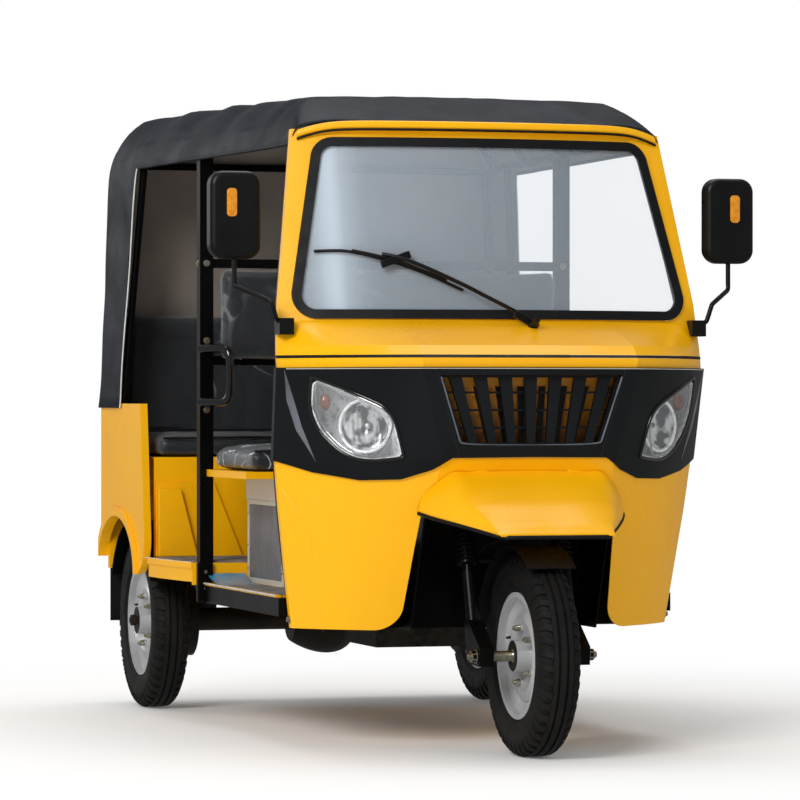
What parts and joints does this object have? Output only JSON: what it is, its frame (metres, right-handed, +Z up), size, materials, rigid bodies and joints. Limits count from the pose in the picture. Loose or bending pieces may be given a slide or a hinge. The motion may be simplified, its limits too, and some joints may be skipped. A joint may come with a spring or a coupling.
{
  "type": "auto rickshaw",
  "caption": "Open-sided auto rickshaw with a windscreen cab, canopy, bench seats, steered front wheel and driven rear axle.",
  "frame": {"origin": "on the ground at the centre of the bounding box", "axes": "+Z up, the vehicle faces -Y, the driver's right is -X"},
  "size_m": [1.548, 2.6, 1.8197],
  "materials": {
    "body_yellow": "gloss yellow paint",
    "frame_black": "gloss black paint",
    "mask_charcoal": "matt charcoal plastic",
    "trim_black": "black moulded plastic",
    "glass": "clear laminated glass",
    "lens": "clear polycarbonate",
    "reflector": "bright reflector",
    "rubber": "black rubber",
    "tyre": "black tyre rubber",
    "rim_silver": "silver paint",
    "aluminium": "ribbed aluminium edge",
    "steel": "zinc plated steel",
    "floor_mat": "grey ribbed mat on steel floor",
    "seat_cover": "black coated seat cover",
    "canopy_cloth": "charcoal coated canopy cloth",
    "box_grey": "grey paint",
    "engine": "engine block",
    "lamp_red": "red lamp lens"
  },
  "bodies": {
    "body": {"brake_pedal": "frame_black", "canopy": "canopy_cloth", "canopy_frame": "frame_black", "chassis": "frame_black", "cowl_panel": "body_yellow", "cowl_seal": "rubber", "dashboard": "trim_black", "door_frame": "frame_black", "drive_shaft": "steel", "driver_backrest": "seat_cover", "driver_cushion": "seat_cover", "driver_seat_base": "body_yellow", "engine_block": "engine", "exhaust": "steel", "floor_pan": "floor_mat", "floor_trims": "aluminium", "front_hood": "body_yellow", "front_mask": "mask_charcoal", "grab_handles": "frame_black", "grille": "trim_black", "grille_pan": "body_yellow", "headlamp_buckets": "reflector", "headlamp_lenses": "lens", "leaf_springs": "frame_black", "mirrors": "trim_black", "nose_panel": "body_yellow", "plate_bracket": "frame_black", "rear_axle": "frame_black", "rear_backrest": "seat_cover", "rear_cushion": "seat_cover", "rear_panel": "body_yellow", "rear_seat_base": "body_yellow", "rear_sides": "body_yellow", "rear_wheel_housings": "frame_black", "roof_visor": "body_yellow", "side_skirts": "body_yellow", "steering_neck": "frame_black", "tail_lamps": "lamp_red", "underseat_box": "box_grey", "underseat_lid": "box_grey", "wheel_housing": "frame_black", "windscreen_gasket": "rubber", "windscreen_glass": "glass", "wiper": "trim_black"},
    "steering": {"front_fork": "frame_black", "fork_springs": "frame_black", "front_mudguard": "frame_black", "handlebar": "trim_black"},
    "front_wheel": {"front_tyre": "tyre", "front_rim": "rim_silver"},
    "rear_wheel_right": {"rear_right_tyre": "tyre", "rear_right_rim": "rim_silver"},
    "rear_wheel_left": {"rear_left_tyre": "tyre", "rear_left_rim": "rim_silver"}
  },
  "joints": [
    {"name": "steer", "type": "hinge", "parent": "body", "child": "steering", "pos_m": [0, -0.81038, 0.774], "axis": [0, 0.2924, 0.9563], "range_deg": [-40, 40]},
    {"name": "front_wheel_spin", "type": "hinge", "parent": "steering", "child": "front_wheel", "pos_m": [0, -1.035, 0.265], "axis": [1, 0, 0], "continuous": true},
    {"name": "rear_wheel_right_spin", "type": "hinge", "parent": "body", "child": "rear_wheel_right", "pos_m": [-0.539, 1, 0.265], "axis": [1, 0, 0], "continuous": true},
    {"name": "rear_wheel_left_spin", "type": "hinge", "parent": "body", "child": "rear_wheel_left", "pos_m": [0.539, 1, 0.265], "axis": [1, 0, 0], "continuous": true}
  ]
}
